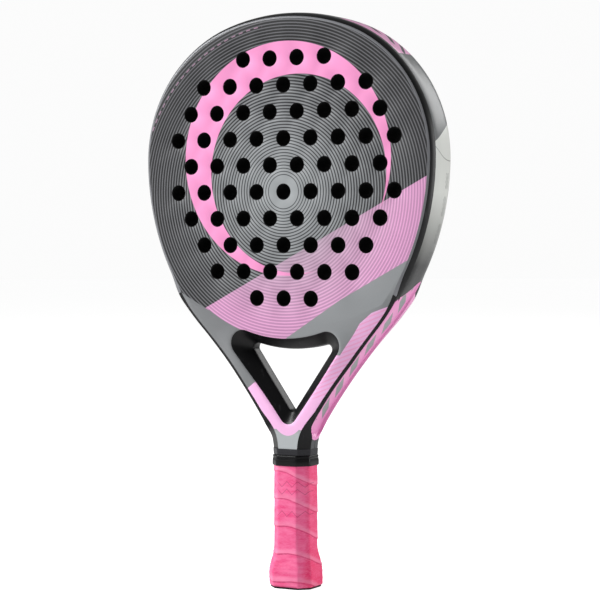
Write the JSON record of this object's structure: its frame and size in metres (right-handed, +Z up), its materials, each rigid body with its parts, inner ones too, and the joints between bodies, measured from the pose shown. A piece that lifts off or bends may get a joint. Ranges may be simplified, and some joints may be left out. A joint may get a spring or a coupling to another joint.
{
  "type": "padel racket",
  "caption": "Teardrop padel racket: perforated flat head with a foam core, open-throat frame and a wrapped octagonal handle.",
  "frame": {"origin": "centre of the butt end's flat face, on the handle's long axis", "axes": "+Z up the handle to the tip of the head, +X across the head to the right seen from the front, +Y from the front face to the back face"},
  "size_m": [0.26, 0.038, 0.455],
  "materials": {
    "carbon_frame": "satin lacquer over carbon laminate, printed grey, black and pink",
    "face_laminate": "satin lacquered laminate with printed rings",
    "core_foam": "matt closed-cell foam",
    "handle_foam": "rigid foam",
    "cap_plastic": "moulded, fine grain",
    "cushion": "perforated cushion grip",
    "wrap": "soft tacky overgrip",
    "collar_rubber": "smooth stretched rubber",
    "tape": "glossy tape"
  },
  "bodies": {
    "root": {"head_hoop": "carbon_frame", "left_arm": "carbon_frame", "right_arm": "carbon_frame", "throat_bridge": "carbon_frame", "neck_yoke": "carbon_frame", "foam_core": "core_foam", "front_face": "face_laminate", "back_face": "face_laminate", "left_leg_tube": "carbon_frame", "right_leg_tube": "carbon_frame", "left_leg_foam": "handle_foam", "right_leg_foam": "handle_foam", "butt_cap": "cap_plastic", "cushion_grip": "cushion", "overgrip": "wrap", "rubber_collar": "collar_rubber", "finishing_tape": "tape"}
  },
  "joints": []
}
